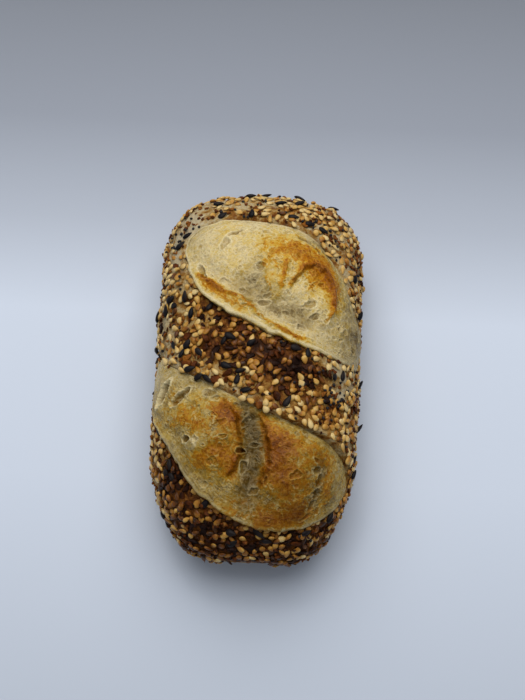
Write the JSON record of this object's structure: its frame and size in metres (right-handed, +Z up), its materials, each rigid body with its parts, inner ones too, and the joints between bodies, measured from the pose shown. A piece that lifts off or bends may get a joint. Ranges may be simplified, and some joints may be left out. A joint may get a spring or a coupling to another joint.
{
  "type": "seeded sourdough batard",
  "caption": "Small oblong bread loaf with a seeded skin and slanting cuts that baked open into pale and golden swells.",
  "frame": {"origin": "under the middle of the loaf, on the surface that it rests on", "axes": "+Y along the loaf to its far end, +X across it to the right, +Z up"},
  "size_m": [0.0798, 0.1474, 0.054],
  "materials": {
    "baked_skin": "dry baked crust, matt, pale golden with browner patches",
    "opened_dough": "baked dough with a dull sheen, cream to golden, browned on its ridges",
    "sesame": "toasted sesame seed, satin, cream to brown",
    "dark_seed": "black sesame and poppy seed, satin, near black",
    "onion_flake": "dried onion baked dark brown, dull"
  },
  "bodies": {
    "root": {"seeded_loaf": "baked_skin"}
  },
  "joints": []
}
